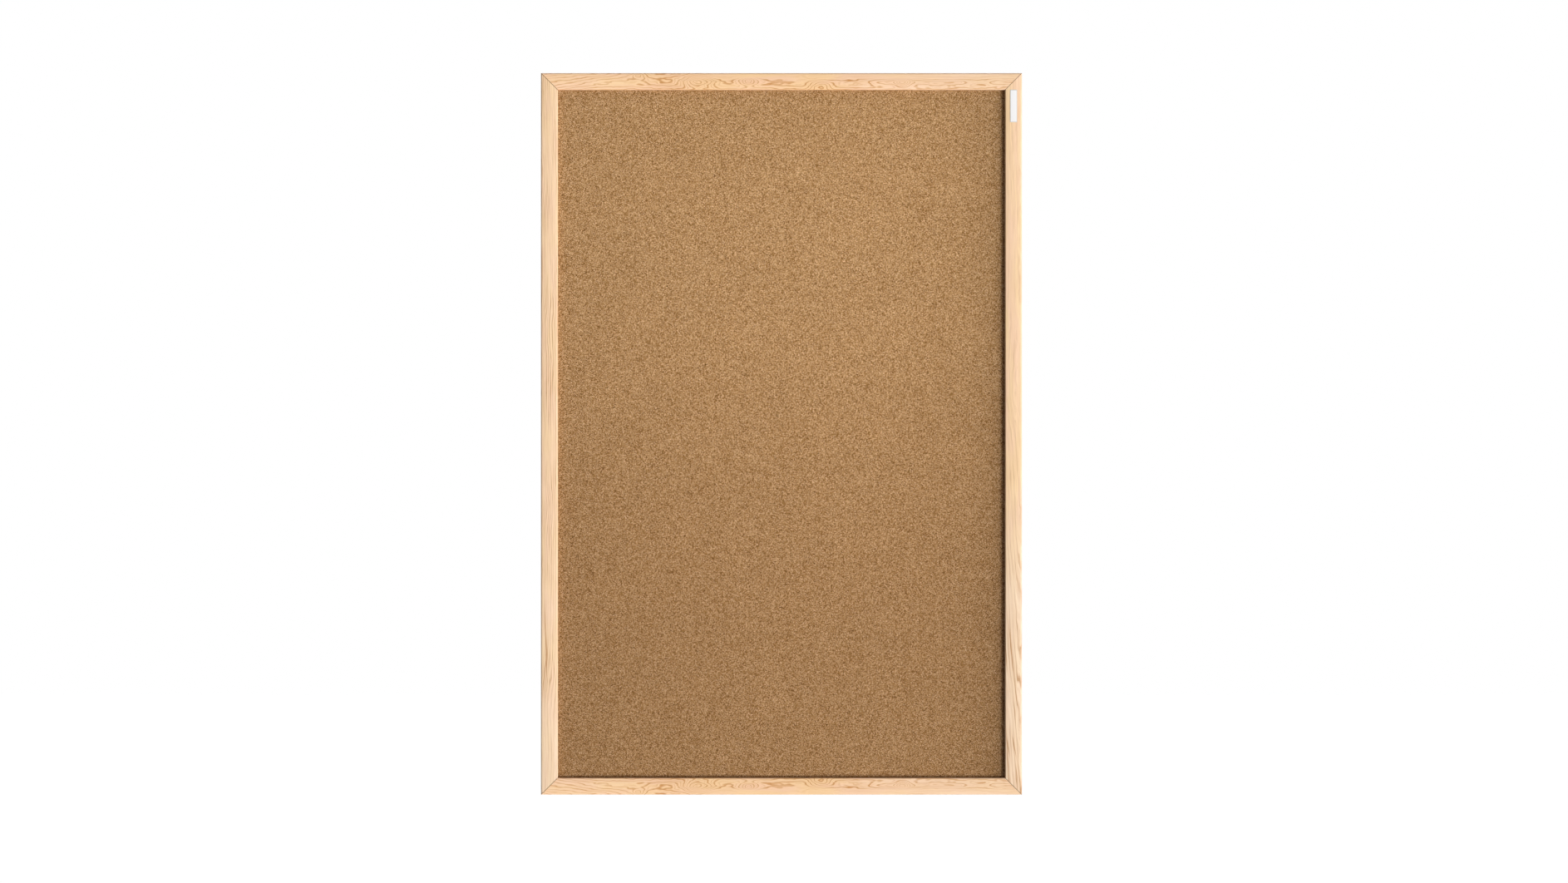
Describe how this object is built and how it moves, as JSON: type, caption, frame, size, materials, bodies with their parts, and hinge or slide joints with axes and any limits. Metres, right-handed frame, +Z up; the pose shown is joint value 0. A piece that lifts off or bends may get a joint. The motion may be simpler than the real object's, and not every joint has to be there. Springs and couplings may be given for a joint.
{
  "type": "cork board",
  "caption": "Upright cork pin board in a mitred pine frame, with ring hangers on the back for hanging it upright or on its side",
  "frame": {"origin": "centre of the board's 600 x 900 mm outline, on the plane of the wall that the rear bumpers touch", "axes": "+X to the right seen from the front, +Y into the wall, so the cork faces -Y, and +Z up with the board upright"},
  "size_m": [0.6, 0.0226, 0.9],
  "materials": {
    "pine": "satin",
    "cork": "matte",
    "softboard": "matte",
    "hardboard": "satin",
    "zinc_steel": "satin",
    "ring_wire": "polished",
    "label_paper": "satin",
    "bumper_rubber": "matte"
  },
  "bodies": {
    "board": {"backing_board": "hardboard", "backing_tab_bottom_1": "zinc_steel", "backing_tab_bottom_2": "zinc_steel", "backing_tab_bottom_3": "zinc_steel", "backing_tab_left_1": "zinc_steel", "backing_tab_left_2": "zinc_steel", "backing_tab_left_3": "zinc_steel", "backing_tab_left_4": "zinc_steel", "backing_tab_left_5": "zinc_steel", "backing_tab_right_1": "zinc_steel", "backing_tab_right_2": "zinc_steel", "backing_tab_right_3": "zinc_steel", "backing_tab_right_4": "zinc_steel", "backing_tab_right_5": "zinc_steel", "backing_tab_top_1": "zinc_steel", "backing_tab_top_2": "zinc_steel", "backing_tab_top_3": "zinc_steel", "blank_label": "label_paper", "bumper_bottom_left": "bumper_rubber", "bumper_bottom_right": "bumper_rubber", "bumper_top_left": "bumper_rubber", "bumper_top_right": "bumper_rubber", "cork_sheet": "cork", "frame_rail_bottom": "pine", "frame_rail_top": "pine", "frame_stile_left": "pine", "frame_stile_right": "pine", "landscape_bottom_hanger_screw_1": "zinc_steel", "landscape_bottom_hanger_screw_2": "zinc_steel", "landscape_bottom_hanger_strap": "zinc_steel", "landscape_top_hanger_screw_1": "zinc_steel", "landscape_top_hanger_screw_2": "zinc_steel", "landscape_top_hanger_strap": "zinc_steel", "portrait_left_hanger_screw_1": "zinc_steel", "portrait_left_hanger_screw_2": "zinc_steel", "portrait_left_hanger_strap": "zinc_steel", "portrait_right_hanger_screw_1": "zinc_steel", "portrait_right_hanger_screw_2": "zinc_steel", "portrait_right_hanger_strap": "zinc_steel", "softboard_core": "softboard", "v_nail_bottom_left_1": "zinc_steel", "v_nail_bottom_left_2": "zinc_steel", "v_nail_bottom_right_1": "zinc_steel", "v_nail_bottom_right_2": "zinc_steel", "v_nail_top_left_1": "zinc_steel", "v_nail_top_left_2": "zinc_steel", "v_nail_top_right_1": "zinc_steel", "v_nail_top_right_2": "zinc_steel"},
    "portrait_left_ring": {"portrait_left_hanger_ring": "ring_wire"},
    "portrait_right_ring": {"portrait_right_hanger_ring": "ring_wire"},
    "landscape_top_ring": {"landscape_top_hanger_ring": "ring_wire"},
    "landscape_bottom_ring": {"landscape_bottom_hanger_ring": "ring_wire"}
  },
  "joints": [
    {"name": "portrait_left_ring_swing", "type": "hinge", "parent": "board", "child": "portrait_left_ring", "pos_m": [-0.2928, -0.0023, 0.3786], "axis": [-1, 0, 0], "range_deg": [0, 178]},
    {"name": "portrait_right_ring_swing", "type": "hinge", "parent": "board", "child": "portrait_right_ring", "pos_m": [0.2928, -0.0023, 0.3786], "axis": [-1, 0, 0], "range_deg": [0, 178]},
    {"name": "landscape_top_ring_swing", "type": "hinge", "parent": "board", "child": "landscape_top_ring", "pos_m": [0.2286, -0.0023, 0.4428], "axis": [0, 0, 1], "range_deg": [0, 178]},
    {"name": "landscape_bottom_ring_swing", "type": "hinge", "parent": "board", "child": "landscape_bottom_ring", "pos_m": [0.2286, -0.0023, -0.4428], "axis": [0, 0, 1], "range_deg": [0, 178]}
  ]
}
